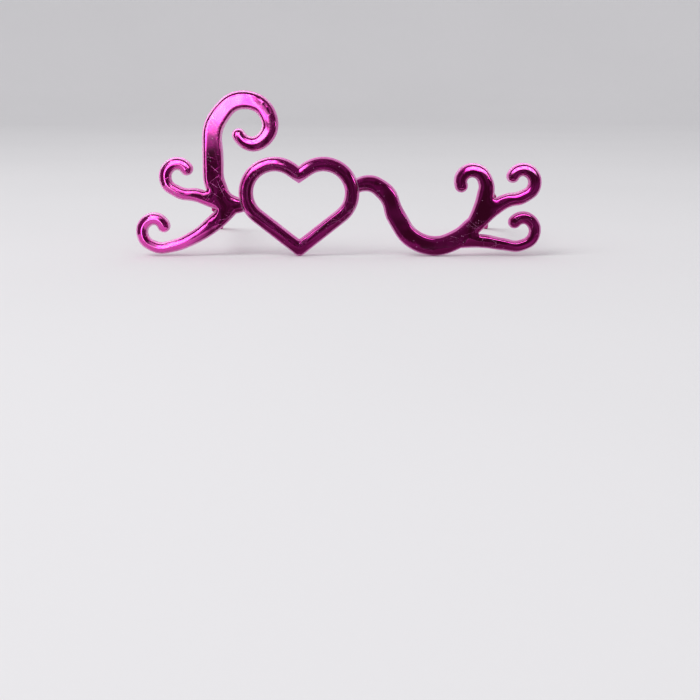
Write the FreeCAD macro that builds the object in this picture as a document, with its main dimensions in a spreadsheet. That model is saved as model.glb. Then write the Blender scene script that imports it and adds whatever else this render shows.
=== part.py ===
import FreeCAD, Part
import math
import os
import Sketcher

Vec = FreeCAD.Vector

# Driving sizes, in millimetres and degrees
SIZES = {
    "heart_shift": -19.2,
    "heart_lobe_offset": 11.4,
    "heart_lobe_radius": 13.45,
    "heart_lobe_height": 29.5,
    "heart_tip_height": 3.5,
    "heart_band": 6.8,
    "heart_notch_web": 8.0,
    "heart_tip_round": 3.0,
    "heart_inside_round": 1.0,
    "flange": 0.65,
    "plate_thickness": 0.9,
    "dome_height": 2.7,
    "shoulder_bevel": 1.3,
    "crotch_round": 1.4,
    "scroll_grid": 1.0,
    "trunk_width": 9.8,
    "swag_width": 9.2,
    "branch_width": 6.4,
    "curl_width": 5.4,
    "curl_end_width": 6.2,
    "crook_radius": 15.0,
    "crook_end_radius": 5.6,
    "tail_radius": 8.2,
    "tail_end_radius": 4.0,
    "hook_radius": 8.0,
    "hook_end_radius": 4.4,
    "nib_radius": 6.9,
    "nib_end_radius": 4.6,
    "upper_horn_radius": 7.6,
    "upper_horn_end_radius": 4.4,
    "lower_horn_radius": 8.0,
    "lower_horn_end_radius": 4.4,
    "hinge_drop": 5.0,
    "hinge_reach": 5.0,
    "hinge_pad_width": 7.0,
    "hinge_pad_thickness": 1.4,
    "knuckle_radius": 2.3,
    "knuckle_height": 3.0,
    "tongue_height": 3.6,
    "tongue_play": 0.1,
    "swing_clearance": 0.35,
    "screw_radius": 0.8,
    "screw_head_radius": 1.5,
    "screw_head_height": 0.8,
    "screw_slot_width": 0.4,
    "screw_slot_depth": 0.35,
    "running_clearance": 0.05,
    "arm_offset": 4.3,
    "arm_thickness": 2.6,
    "arm_root_height": 8.0,
    "arm_ear_height": 5.8,
    "arm_length": 85.0,
    "arm_root_length": 6.0,
    "arm_taper_length": 34.0,
    "arm_edge_bevel": 0.6,
    "ear_radius": 22.0,
    "ear_angle": 38.0,
    "splay": 4.0,
}

# Degrees between stations on a curl, and the least corner that counts as a crotch between strokes
CURL_STEP = 62.0
CROTCH_ANGLE = 15.0

# Below these an arc is drawn straight and two places are one
STRAIGHT_ANGLE = 1e-4
SAME = 1e-6


class Size:
    """A length that carries its number and the sheet expression it comes from."""

    def __init__(self, value, text):
        self.value = value
        self.text = text

    @staticmethod
    def of(item):
        return item if isinstance(item, Size) else Size(float(item), repr(float(item)))

    def __add__(self, other):
        other = Size.of(other)
        return Size(self.value + other.value, f"({self.text} + {other.text})")

    def __sub__(self, other):
        other = Size.of(other)
        return Size(self.value - other.value, f"({self.text} - {other.text})")

    def __mul__(self, other):
        other = Size.of(other)
        return Size(self.value * other.value, f"({self.text} * {other.text})")

    def __truediv__(self, other):
        other = Size.of(other)
        return Size(self.value / other.value, f"({self.text} / {other.text})")

    def __neg__(self):
        return Size(-self.value, f"(-1 * {self.text})")

    def sin(self):
        return Size(math.sin(math.radians(self.value)), f"sin({self.text} * 1 deg)")

    def cos(self):
        return Size(math.cos(math.radians(self.value)), f"cos({self.text} * 1 deg)")


doc = FreeCAD.newDocument("heart_party_glasses")
sheet = doc.addObject("Spreadsheet::Sheet", "sizes")
for row, (alias, number) in enumerate(SIZES.items(), start=1):
    sheet.set(f"A{row}", alias)
    sheet.set(f"B{row}", str(number))
    sheet.setAlias(f"B{row}", alias)
doc.recompute()


def size(alias):
    """The number in one cell of the sheet."""
    return float(sheet.get(alias))


def bound(alias):
    """The same cell as a bound size."""
    return Size(size(alias), f"sizes.{alias}")


# Flat geometry of the front, in the X-Z plane


def flat(x, z):
    return Vec(x, 0, z)


def left_of(direction):
    return Vec(-direction.z, 0, direction.x)


def turn(first, second):
    """Signed area of two flat vectors, positive when the second lies to the left."""
    return first.x * second.z - first.z * second.x


def unit(vector):
    return vector / vector.Length


def polar(centre, radius, degrees):
    angle = math.radians(degrees)
    return centre + flat(radius * math.cos(angle), radius * math.sin(angle))


def round_arc(centre, radius, start, end):
    """Arc about a centre between two angles in degrees."""
    middle = polar(centre, radius, (start + end) / 2)
    return Part.Arc(polar(centre, radius, start), middle, polar(centre, radius, end)).toShape()


def leaving_arc(start, direction, end):
    """Arc from start to end that leaves along a direction, or a line where that is straight."""
    chord = end - start
    angle = math.atan2(turn(chord, direction), chord.dot(direction))
    if abs(angle) < STRAIGHT_ANGLE:
        return Part.makeLine(start, end)
    bulge = math.tan(angle / 2) / 2
    return Part.Arc(start, (start + end) / 2 + left_of(chord) * bulge, end).toShape()


def smooth_pair(start, start_direction, end, end_direction):
    """Two tangent arcs that join two points with given directions."""
    span = end - start
    both = span.dot(start_direction + end_direction)
    spread = 2 * (1 - start_direction.dot(end_direction))
    if spread < STRAIGHT_ANGLE:
        reach = span.dot(span) / (2 * both)
    else:
        reach = (math.sqrt(both * both + spread * span.dot(span)) - both) / spread
    joint = (start + end + (start_direction - end_direction) * reach) / 2
    return [leaving_arc(start, start_direction, joint), leaving_arc(end, end_direction * -1, joint)]


def smooth_chain(points, directions):
    edges = []
    for i in range(len(points) - 1):
        edges += smooth_pair(points[i], directions[i], points[i + 1], directions[i + 1])
    return edges


def curl(centre, first_radius, last_radius, start, sweep, first_width, last_width):
    """Stations (point, width) on a spiral whose radius and width change evenly with angle."""
    steps = math.ceil(abs(sweep) / CURL_STEP)
    stations = []
    for i in range(steps + 1):
        part = i / steps
        radius = first_radius + (last_radius - first_radius) * part
        width = first_width + (last_width - first_width) * part
        stations.append((polar(centre, radius, start + sweep * part), width))
    return stations


def path_directions(points):
    """Direction at each point, that of the circle through it and its neighbours."""
    middle = []
    for before, here, after in zip(points, points[1:], points[2:]):
        back = here - before
        ahead = after - here
        middle.append(unit(unit(back) * ahead.Length + unit(ahead) * back.Length))
    ends = []
    for near, far, inner in ((points[0], points[1], middle[0]), (points[-1], points[-2], middle[-1])):
        chord = unit(far - near)
        ends.append(chord * (2 * inner.dot(chord)) - inner)
    return [ends[0]] + middle + [ends[1]]


def stroke_face(stations, extra):
    """Flat ribbon along stations (point, width), widened by extra on each side, round at both ends."""
    points = [station[0] for station in stations]
    halves = [station[1] / 2 + extra for station in stations]
    ahead = path_directions(points)
    sides = {1: ([], []), -1: ([], [])}
    for i, (point, direction) in enumerate(zip(points, ahead)):
        slope = 0.0
        bend = 0.0
        if 0 < i < len(points) - 1:
            back = point - points[i - 1]
            front = points[i + 1] - point
            slope = (halves[i + 1] - halves[i - 1]) / (back.Length + front.Length)
            bend = 2 * turn(back, front) / (back.Length * front.Length * (back + front).Length)
        for side, (edge_points, edge_directions) in sides.items():
            normal = left_of(direction) * side
            edge_points.append(point + normal * halves[i])
            edge_directions.append(unit(direction * (1 - side * bend * halves[i]) + normal * slope))
    left, right = sides[1], sides[-1]
    edges = smooth_chain(*left) + smooth_chain(*right)
    edges.append(Part.Arc(left[0][0], points[0] - ahead[0] * halves[0], right[0][0]).toShape())
    edges.append(Part.Arc(left[0][-1], points[-1] + ahead[-1] * halves[-1], right[0][-1]).toShape())
    return Part.Face(Part.Wire(Part.__sortEdges__(edges)))


class Heart:
    """Flat construction of the heart band, about its own axis."""

    def __init__(self):
        self.centre = flat(size("heart_lobe_offset"), size("heart_lobe_height"))
        self.radius = size("heart_lobe_radius")
        self.half_band = size("heart_band") / 2
        self.tip = flat(0, size("heart_tip_height"))
        to_lobe = self.centre - self.tip
        lean = math.atan2(to_lobe.x, to_lobe.z) + math.asin(self.radius / to_lobe.Length)
        self.flank_angle = -math.degrees(lean)
        self.lean_sine = math.sin(lean)
        self.outward = polar(flat(0, 0), 1, self.flank_angle)
        self.left_edge = size("heart_shift") - self.centre.x - self.radius - self.half_band
        self.right_edge = size("heart_shift") + self.centre.x + self.radius + self.half_band

    def outer_edges(self, inset):
        """Right half of the outer outline, from the notch to the tip, moved inward by inset."""
        radius = self.radius + self.half_band - inset
        notch = math.sqrt(radius ** 2 - self.centre.x ** 2)
        notch_angle = math.degrees(math.atan2(notch, -self.centre.x))
        tip_round = size("heart_tip_round") - inset
        sharp_tip = self.tip.z - (self.half_band - inset) / self.lean_sine
        tip_centre = flat(0, sharp_tip + tip_round / self.lean_sine)
        flank_top = self.centre + self.outward * radius
        flank_foot = tip_centre + self.outward * tip_round
        return [
            round_arc(self.centre, radius, notch_angle, self.flank_angle),
            Part.makeLine(flank_top, flank_foot),
            round_arc(tip_centre, tip_round, self.flank_angle, -90),
        ]

    def inner_edges(self, inset):
        """Right half of the eye opening, from its tip to its notch, moved into the band by inset."""
        radius = self.radius - self.half_band + inset
        foot_round = size("heart_inside_round") + inset
        sharp_foot = self.tip.z + (self.half_band - inset) / self.lean_sine
        foot_centre = flat(0, sharp_foot + foot_round / self.lean_sine)
        slope = self.notch_slope()
        rise = inset / math.cos(math.radians(slope))
        notch = flat(0, self.inner_notch() + rise)
        return [
            round_arc(foot_centre, foot_round, -90, self.flank_angle),
            Part.makeLine(foot_centre + self.outward * foot_round, self.centre + self.outward * radius),
            round_arc(self.centre, radius, self.flank_angle, 90 + slope),
            Part.makeLine(polar(self.centre, radius, 90 + slope), notch),
        ]

    def inner_notch(self):
        outer = math.sqrt((self.radius + self.half_band) ** 2 - self.centre.x ** 2)
        return self.centre.z + outer - size("heart_notch_web")

    def notch_slope(self):
        """Angle of the straight run from the inner notch to the lobe."""
        to_lobe = self.centre - flat(0, self.inner_notch())
        lift = math.asin((self.radius - self.half_band) / to_lobe.Length)
        return math.degrees(math.atan2(to_lobe.z, to_lobe.x) + lift)

    def half_band_face(self, inset):
        outer = self.outer_edges(inset)
        inner = self.inner_edges(inset)
        across = [
            Part.makeLine(outer[-1].Vertexes[-1].Point, inner[0].Vertexes[0].Point),
            Part.makeLine(inner[-1].Vertexes[-1].Point, outer[0].Vertexes[0].Point),
        ]
        return Part.Face(Part.Wire(Part.__sortEdges__(outer + inner + across)))

    def whole_outer_face(self):
        """Filled outline of the heart's flange."""
        half = self.outer_edges(0)
        other = [edge.mirror(Vec(), Vec(1, 0, 0)) for edge in half]
        face = Part.Face(Part.Wire(Part.__sortEdges__(half + other)))
        return face.translated(Vec(size("heart_shift"), 0, 0))


heart = Heart()


# Strokes of the scrollwork: stations are (point, width), points are steps of the grid from the heart


def left_of_heart(across, up):
    """A point measured from the heart's left edge and the height of its lobes."""
    return flat(heart.left_edge, heart.centre.z) + flat(across, up) * size("scroll_grid")


def right_of_heart(across, up):
    """A point measured from the heart's right edge and the height of its lobes."""
    return flat(heart.right_edge, heart.centre.z) + flat(across, up) * size("scroll_grid")


def on_band(side, degrees):
    """A point on the middle of the heart's band, about its left (-1) or right (1) lobe."""
    lobe = flat(size("heart_shift") + side * heart.centre.x, heart.centre.z)
    return polar(lobe, heart.radius, degrees)


def crook_stations():
    """Tall stem from the heart's left lobe, with its crook over the lobe."""
    trunk = size("trunk_width")
    stem = [
        (on_band(-1, 200), size("branch_width")),
        (left_of_heart(-4.4, -4.9), trunk * 0.9),
        (left_of_heart(-10.6, 3.5), trunk),
        (left_of_heart(-11.6, 15.5), trunk),
    ]
    crook = curl(left_of_heart(5.0, 30.1), size("crook_radius"), size("crook_end_radius"), 166, -310,
                 trunk * 0.94, size("curl_end_width"))
    return stem + crook


def tail_stations():
    """Low curl at the far left, from the foot of the stem."""
    branch = size("branch_width")
    stem = [
        (left_of_heart(-3.0, -6.0), branch * 1.2),
        (left_of_heart(-11.0, -13.5), branch * 1.25),
        (left_of_heart(-21.0, -20.7), branch),
        (left_of_heart(-30.4, -24.6), size("curl_width") * 1.07),
    ]
    tail = curl(left_of_heart(-38.8, -17.2), size("tail_radius"), size("tail_end_radius"), -92, -240,
                size("curl_width"), size("curl_end_width"))
    return stem + tail


def hook_stations():
    """Middle curl at the left, from the foot of the stem."""
    stem = [
        (left_of_heart(-4.0, -5.4), size("branch_width")),
        (left_of_heart(-11.4, -4.0), size("branch_width")),
        (left_of_heart(-18.8, -1.2), size("branch_width")),
    ]
    hook = curl(left_of_heart(-27.4, 8.4), size("hook_radius"), size("hook_end_radius"), -95, -225,
                size("curl_width") * 1.07, size("curl_end_width"))
    return stem + hook


def swag_stations():
    """Bridge over the nose, swag under the eye and the vine that rises into the far right curl."""
    branch = size("branch_width")
    swag = size("swag_width")
    run = [
        (on_band(1, 6), branch),
        (right_of_heart(4.4, 4.5), branch * 1.2),
        (right_of_heart(11.7, 0.6), swag * 0.94),
        (right_of_heart(17.4, -11.2), swag),
        (right_of_heart(24.6, -21.0), swag),
        (right_of_heart(35.0, -24.8), swag),
        (right_of_heart(45.6, -21.8), swag),
        (right_of_heart(54.2, -14.6), swag * 0.94),
        (right_of_heart(61.6, -8.0), swag * 0.84),
        (right_of_heart(69.0, -3.6), branch * 1.06),
    ]
    horn = curl(right_of_heart(75.4, 5.6), size("upper_horn_radius"), size("upper_horn_end_radius"),
                -85, 235, branch, size("curl_end_width"))
    return run + horn


def nib_stations():
    """Inward curl beside the eye, from the upper side of the vine."""
    branch = size("branch_width")
    stem = [
        (right_of_heart(50.4, -18.0), branch),
        (right_of_heart(56.4, -9.8), branch * 1.3),
        (right_of_heart(58.9, -1.6), branch * 1.3),
    ]
    nib = curl(right_of_heart(52.0, 4.6), size("nib_radius"), size("nib_end_radius"), 6, 190,
               branch * 1.12, size("curl_end_width"))
    return stem + nib


def lower_horn_stations():
    """Lower curl at the far right, from the under side of the swag."""
    branch = size("branch_width")
    stem = [
        (right_of_heart(40.0, -23.6), branch),
        (right_of_heart(50.0, -22.5), branch),
        (right_of_heart(59.0, -22.6), branch),
        (right_of_heart(67.4, -24.0), size("curl_width") * 1.07),
    ]
    horn = curl(right_of_heart(75.8, -16.7), size("lower_horn_radius"), size("lower_horn_end_radius"),
                -92, 225, size("curl_width"), size("curl_end_width"))
    return stem + horn


# The front: one plate and the domed skins on it

FORWARD = Vec(0, -size("dome_height"), 0)
BACKWARD = Vec(0, size("plate_thickness"), 0)


def at_crown(edge):
    return all(abs(vertex.Y + size("dome_height")) < SAME for vertex in edge.Vertexes)


def is_crotch(shape, edge):
    """Whether an edge stands upright at a sharp corner between two strokes."""
    foot, top = edge.Vertexes[0].Point, edge.Vertexes[-1].Point
    if abs(abs((top - foot).y) - size("dome_height")) > SAME:
        return False
    normals = []
    for face in shape.ancestorsOfType(edge, Part.Face):
        normals.append(face.normalAt(*face.Surface.parameter(foot)))
    return normals[0].getAngle(normals[1]) > math.radians(CROTCH_ANGLE)


def domed(prism):
    """Soften the crotches of a raised outline and bevel its crown edge."""
    crotches = [edge for edge in prism.Edges if is_crotch(prism, edge)]
    if crotches:
        prism = prism.makeFillet(size("crotch_round"), crotches)
    return prism.makeChamfer(size("shoulder_bevel"), [edge for edge in prism.Edges if at_crown(edge)])


def heart_skin():
    half = heart.half_band_face(size("flange")).extrude(FORWARD)
    rim = [edge for edge in half.Edges if at_crown(edge) and edge.BoundBox.XMax > SAME]
    half = half.makeChamfer(size("shoulder_bevel"), rim)
    whole = half.fuse(half.mirror(Vec(), Vec(1, 0, 0))).removeSplitter()
    return whole.translated(Vec(size("heart_shift"), 0, 0))


def scroll_skin(strokes):
    """Domed strokes of one side, stopped at the heart's flange."""
    prisms = [stroke_face(stations, -size("flange")).extrude(FORWARD) for stations in strokes]
    skin = domed(prisms[0].fuse(prisms[1:]).removeSplitter())
    return skin.cut(heart.whole_outer_face().extrude(FORWARD * 2)).Solids[0]


def back_plate(strokes):
    half = heart.half_band_face(0).translated(Vec(size("heart_shift"), 0, 0))
    other = half.mirror(Vec(size("heart_shift"), 0, 0), Vec(1, 0, 0))
    faces = [half, other] + [stroke_face(stations, 0) for stations in strokes]
    prisms = [face.extrude(BACKWARD) for face in faces]
    return prisms[0].fuse(prisms[1:]).removeSplitter().Solids[0]


CROOK = crook_stations()
NIB = nib_stations()
LEFT_STROKES = [CROOK, hook_stations(), tail_stations()]
RIGHT_STROKES = [swag_stations(), NIB, lower_horn_stations()]


def between(first, second):
    """Across place halfway between two stations."""
    return (first[0].x + second[0].x) / 2


# Each hinge sits behind a stem: the foot of the crook and that of the inward curl
HINGE_X = {"right": between(CROOK[1], CROOK[2]), "left": NIB[2][0].x}
HINGE_HEIGHT = bound("heart_lobe_height") - bound("hinge_drop")


def add_shape(label, shape):
    item = doc.addObject("Part::Feature", label)
    item.Label = label
    item.Shape = shape
    return item


# Hinges and temples, as bodies about the hinge axis


def new_body(label):
    body = doc.addObject("PartDesign::Body", label)
    body.Label = label
    return body


def plane_sketch(body, role, name):
    """An empty sketch on one of the body's own origin planes."""
    sketch = body.newObject("Sketcher::SketchObject", name)
    plane = [item for item in body.Origin.OriginFeatures if item.Role == role][0]
    sketch.AttachmentSupport = [(plane, "")]
    sketch.MapMode = "FlatFace"
    return sketch


def bind(sketch, kind, geometry, position, length):
    """Hold one coordinate of a point, measured from the origin, at a bound size."""
    constraint = Sketcher.Constraint(kind, -1, 1, geometry, position, length.value)
    index = sketch.addConstraint(constraint)
    sketch.setExpression(f"Constraints[{index}]", length.text)


def sketch_arc(start, end, centre, way):
    """Arc between two points, way being 1 for anticlockwise and -1 for clockwise."""
    first = math.atan2(start.y - centre.y, start.x - centre.x)
    last = math.atan2(end.y - centre.y, end.x - centre.x)
    if way < 0:
        first, last = last, first
    circle = Part.Circle(centre, Vec(0, 0, 1), start.distanceToPoint(centre))
    return Part.ArcOfCircle(circle, first, first + (last - first) % (2 * math.pi))


def outline_sketch(body, role, name, vertices, offset=None):
    """Closed outline: vertices are (x, y) or, where an arc follows, (x, y, centre x, centre y, way)."""
    sketch = plane_sketch(body, role, name)
    if offset is not None:
        sketch.AttachmentOffset = FreeCAD.Placement(Vec(0, 0, offset.value), FreeCAD.Rotation())
        sketch.setExpression("AttachmentOffset.Base.z", offset.text)
    corners = [[Size.of(length) for length in vertex[:4]] + list(vertex[4:]) for vertex in vertices]
    spots = [Vec(corner[0].value, corner[1].value, 0) for corner in corners]
    first_ends = []
    for i, corner in enumerate(corners):
        start, end = spots[i], spots[(i + 1) % len(spots)]
        if len(corner) == 2:
            sketch.addGeometry(Part.LineSegment(start, end))
        else:
            centre = Vec(corner[2].value, corner[3].value, 0)
            sketch.addGeometry(sketch_arc(start, end, centre, corner[4]))
        flipped = sketch.Geometry[i].StartPoint.distanceToPoint(start) > SAME
        first_ends.append(2 if flipped else 1)
    for i, corner in enumerate(corners):
        after = (i + 1) % len(corners)
        last_end = 3 - first_ends[i]
        bind(sketch, "DistanceX", i, first_ends[i], corner[0])
        bind(sketch, "DistanceY", i, first_ends[i], corner[1])
        sketch.addConstraint(Sketcher.Constraint("Coincident", i, last_end, after, first_ends[after]))
        if len(corner) > 2:
            chord = spots[after] - spots[i]
            if abs(chord.x) > abs(chord.y):
                bind(sketch, "DistanceY", i, 3, corner[3])
            else:
                bind(sketch, "DistanceX", i, 3, corner[2])
    return sketch


def circle_sketch(body, role, name, circles):
    """Circles (x, y, radius) on an origin plane."""
    sketch = plane_sketch(body, role, name)
    for i, (x, y, radius) in enumerate(circles):
        x, y = Size.of(x), Size.of(y)
        sketch.addGeometry(Part.Circle(Vec(x.value, y.value, 0), Vec(0, 0, 1), radius.value))
        bind(sketch, "DistanceX", i, 3, x)
        bind(sketch, "DistanceY", i, 3, y)
        index = sketch.addConstraint(Sketcher.Constraint("Radius", i, radius.value))
        sketch.setExpression(f"Constraints[{index}]", radius.text)
    return sketch


def feature(body, kind, name, sketch, length):
    """A pad or pocket of a sketch, as long as a bound size and halfway to each side."""
    made = body.newObject(f"PartDesign::{kind}", name)
    made.Profile = sketch
    made.Length = length.value
    made.setExpression("Length", length.text)
    made.Midplane = True
    doc.recompute()
    return made


def bevel(body, name, base, length, chosen):
    """Bevel those edges of a feature that a test picks."""
    names = [f"Edge{i}" for i, edge in enumerate(base.Shape.Edges, start=1) if chosen(edge)]
    made = body.newObject("PartDesign::Chamfer", name)
    made.Base = (base, names)
    made.Size = length.value
    made.setExpression("Size", length.text)
    doc.recompute()
    return made


KNUCKLE = bound("knuckle_radius")
REACH = bound("hinge_reach")
PAD_WIDTH = bound("hinge_pad_width")
PAD_THICKNESS = bound("hinge_pad_thickness")
SLOT_HEIGHT = bound("tongue_height") + bound("tongue_play") * 2
BLOCK_HEIGHT = SLOT_HEIGHT + bound("knuckle_height") * 2
CLEARANCE = bound("swing_clearance")
BORE = bound("screw_radius") + bound("running_clearance")


def hinge_block(label):
    """Pad and two knuckles; the axis is the hinge's own, with the plate in front of it."""
    body = new_body(label)
    half = PAD_WIDTH / 2
    floor = PAD_THICKNESS - REACH
    profile = outline_sketch(body, "XY_Plane", f"{label}_profile", [
        (-half, -REACH),
        (half, -REACH),
        (half, floor),
        (KNUCKLE, floor),
        (KNUCKLE, 0, 0, 0, 1),
        (-KNUCKLE, 0),
        (-KNUCKLE, floor),
        (-half, floor),
    ])
    feature(body, "Pad", f"{label}_pad", profile, BLOCK_HEIGHT)
    slot_floor = -(KNUCKLE + CLEARANCE)
    slot = outline_sketch(body, "XY_Plane", f"{label}_slot", [
        (-PAD_WIDTH, slot_floor),
        (PAD_WIDTH, slot_floor),
        (PAD_WIDTH, KNUCKLE * 2),
        (-PAD_WIDTH, KNUCKLE * 2),
    ])
    feature(body, "Pocket", f"{label}_gap", slot, SLOT_HEIGHT)
    bore = circle_sketch(body, "XY_Plane", f"{label}_bore", [(0, 0, BORE)])
    feature(body, "Pocket", f"{label}_drill", bore, BLOCK_HEIGHT * 2)
    return body


def hinge_screw(label):
    """Slotted pin through the knuckles, with its head on the upper one."""
    body = new_body(label)
    shank = bound("screw_radius")
    head = bound("screw_head_radius")
    top = BLOCK_HEIGHT / 2
    crown = top + bound("screw_head_height")
    profile = outline_sketch(body, "XZ_Plane", f"{label}_profile", [
        (0, -top),
        (shank, -top),
        (shank, top),
        (head, top),
        (head, crown),
        (0, crown),
    ])
    turned = body.newObject("PartDesign::Revolution", f"{label}_turned")
    turned.Profile = profile
    turned.ReferenceAxis = (profile, ["V_Axis"])
    turned.Angle = 360
    doc.recompute()
    half_slot = bound("screw_slot_width") / 2
    slot = outline_sketch(body, "XZ_Plane", f"{label}_slot", [
        (-half_slot, crown - bound("screw_slot_depth")),
        (half_slot, crown - bound("screw_slot_depth")),
        (half_slot, crown * 2),
        (-half_slot, crown * 2),
    ])
    feature(body, "Pocket", f"{label}_drive", slot, head * 4)
    return body


def temple(label, side):
    """Arm with an ear bend, a heel that stops it when open and one knuckle on the hinge axis."""
    body = new_body(label)
    offset = bound("arm_offset") * side
    half_thick = bound("arm_thickness") / 2
    root = bound("arm_root_height") / 2
    ear = bound("arm_ear_height") / 2
    bend = bound("arm_length")
    ear_radius = bound("ear_radius")
    angle = bound("ear_angle")
    heel = PAD_THICKNESS - REACH + CLEARANCE + (bound("arm_offset") + half_thick) * bound("splay").sin()
    bend_drop = ear_radius - ear_radius * angle.cos()
    tip_run = (HINGE_HEIGHT - ear - bend_drop) / angle.sin()
    arc_y = bend + ear_radius * angle.sin()
    tip_y = arc_y + tip_run * angle.cos()
    tip_z = ear - HINGE_HEIGHT
    across_y = ear * angle.sin()
    across_z = ear * angle.cos()
    start = bound("arm_root_length")
    end = start + bound("arm_taper_length")
    middle = (start + end) / 2
    mean = (root + ear) / 2
    drop = root - ear
    swoop = (bound("arm_taper_length") * bound("arm_taper_length") + drop * drop) / (drop * 4)
    profile = outline_sketch(body, "YZ_Plane", f"{label}_profile", [
        (heel, -root),
        (start, -root, start, swoop - root, 1),
        (middle, -mean, end, -ear - swoop, -1),
        (end, -ear),
        (bend, -ear, bend, -ear_radius, -1),
        (arc_y - across_y, -bend_drop - across_z),
        (tip_y - across_y, tip_z - across_z, tip_y, tip_z, 1),
        (tip_y + across_y, tip_z + across_z),
        (arc_y + across_y, across_z - bend_drop, bend, -ear_radius, 1),
        (bend, ear),
        (end, ear, end, ear + swoop, -1),
        (middle, mean, start, root - swoop, 1),
        (start, root),
        (heel, root),
    ], offset)
    arm = feature(body, "Pad", f"{label}_arm", profile, half_thick * 2)
    bevel(body, f"{label}_edges", arm, bound("arm_edge_bevel"), lambda edge: edge.BoundBox.XLength < SAME)
    tongue = outline_sketch(body, "XY_Plane", f"{label}_tongue", [
        (0, -KNUCKLE, 0, 0, -side),
        (0, KNUCKLE),
        (offset, KNUCKLE),
        (offset, -KNUCKLE),
    ])
    feature(body, "Pad", f"{label}_knuckle", tongue, bound("tongue_height"))
    bore = circle_sketch(body, "XY_Plane", f"{label}_bore", [(0, 0, BORE)])
    feature(body, "Pocket", f"{label}_drill", bore, BLOCK_HEIGHT * 2)
    return body


# Assembly: the front about the plate's face, each hinge behind its stroke

parts = [
    add_shape("back_plate", back_plate(LEFT_STROKES + RIGHT_STROKES)),
    add_shape("heart_skin", heart_skin()),
    add_shape("frond_skin", scroll_skin(LEFT_STROKES)),
    add_shape("wave_skin", scroll_skin(RIGHT_STROKES)),
]
for hand, side in (("right", -1), ("left", 1)):
    pivot = Vec(HINGE_X[hand], size("plate_thickness") + size("hinge_reach"), HINGE_HEIGHT.value)
    still = FreeCAD.Rotation()
    splayed = FreeCAD.Rotation(Vec(0, 0, 1), -side * size("splay"))
    for body, rotation in (
        (hinge_block(f"{hand}_hinge_block"), still),
        (hinge_screw(f"{hand}_hinge_screw"), still),
        (temple(f"{hand}_temple", side), splayed),
    ):
        body.Placement = FreeCAD.Placement(pivot, rotation)
        parts.append(body)
doc.recompute()

# The origin is the middle of the whole part's box, at its foot
box = FreeCAD.BoundBox()
for part in parts:
    box.add(part.Shape.optimalBoundingBox(False))
shift = Vec(-box.Center.x, -box.Center.y, -box.ZMin)
for part in parts:
    part.Placement = FreeCAD.Placement(part.Placement.Base + shift, part.Placement.Rotation)
doc.recompute()

for item in doc.Objects:
    if "Invalid" in item.State or "Error" in item.State:
        raise RuntimeError(f"{item.Label} failed")
for part in parts:
    if part.Shape.isNull() or not part.Shape.isValid() or len(part.Shape.Solids) != 1:
        raise RuntimeError(f"{part.Label} is not one valid solid")

os.makedirs("parts", exist_ok=True)
for part in parts:
    part.Shape.exportStep(f"parts/{part.Label}.step")
    print(part.Label, "volume", round(part.Shape.Volume, 1), "box", part.Shape.BoundBox)
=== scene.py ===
"""Heart party glasses: a metallised scrollwork front on two folding temples.

Sizes are in metres. The glasses stand on the floor, look along -Y and are
wide along X.
"""

import logging
import math
from dataclasses import dataclass, field
from enum import Enum
from typing import Callable, Optional, Sequence, Union

import bpy
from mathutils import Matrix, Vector
from mathutils.bvhtree import BVHTree


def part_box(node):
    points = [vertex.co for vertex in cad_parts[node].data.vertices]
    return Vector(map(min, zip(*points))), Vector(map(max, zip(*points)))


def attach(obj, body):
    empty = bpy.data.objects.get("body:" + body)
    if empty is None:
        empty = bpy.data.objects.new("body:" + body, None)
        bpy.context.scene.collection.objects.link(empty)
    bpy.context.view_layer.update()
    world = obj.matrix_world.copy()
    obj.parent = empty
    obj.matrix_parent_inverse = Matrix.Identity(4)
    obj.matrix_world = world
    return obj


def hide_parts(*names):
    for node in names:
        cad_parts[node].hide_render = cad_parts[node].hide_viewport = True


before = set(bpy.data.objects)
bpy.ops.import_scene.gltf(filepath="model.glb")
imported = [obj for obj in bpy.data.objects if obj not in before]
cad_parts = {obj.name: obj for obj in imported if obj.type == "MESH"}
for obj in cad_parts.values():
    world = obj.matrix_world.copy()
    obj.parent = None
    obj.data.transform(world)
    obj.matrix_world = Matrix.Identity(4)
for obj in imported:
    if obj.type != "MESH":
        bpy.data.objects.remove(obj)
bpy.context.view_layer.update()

LOG = logging.getLogger("party_glasses")
FRONT = "front"
MM = 0.001
# The slack in a test of place, and the gap that is closed between a copied node's triangles.
NEAR = 0.04 * MM
SEAM = 0.002 * MM
# The Y part of a face's normal past which the face counts as flat to the front or the back.
FLAT = 0.99
# The roughness of the floor and the cards.
MATT = 0.9
# The Mix node's sockets for colours: its share, its two inputs and its result.
MIX_SHARE, MIX_FIRST, MIX_SECOND, MIX_RESULT = 0, 6, 7, 2
# The place of the distance in what a search of a BVH tree finds.
DISTANCE = 3

Colour = tuple[float, float, float]
Point = tuple[float, float, float]
FaceTest = Callable[[bpy.types.MeshPolygon], bool]


class Side(Enum):
    """The wearer's side that a hinge or a temple is on."""

    RIGHT = "right"
    LEFT = "left"


class Slot(Enum):
    """The record's material slots, by name."""

    PLATE = "plate"
    SKIN = "skin"
    MOULDING = "moulding"


# Shader graphs


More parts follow.
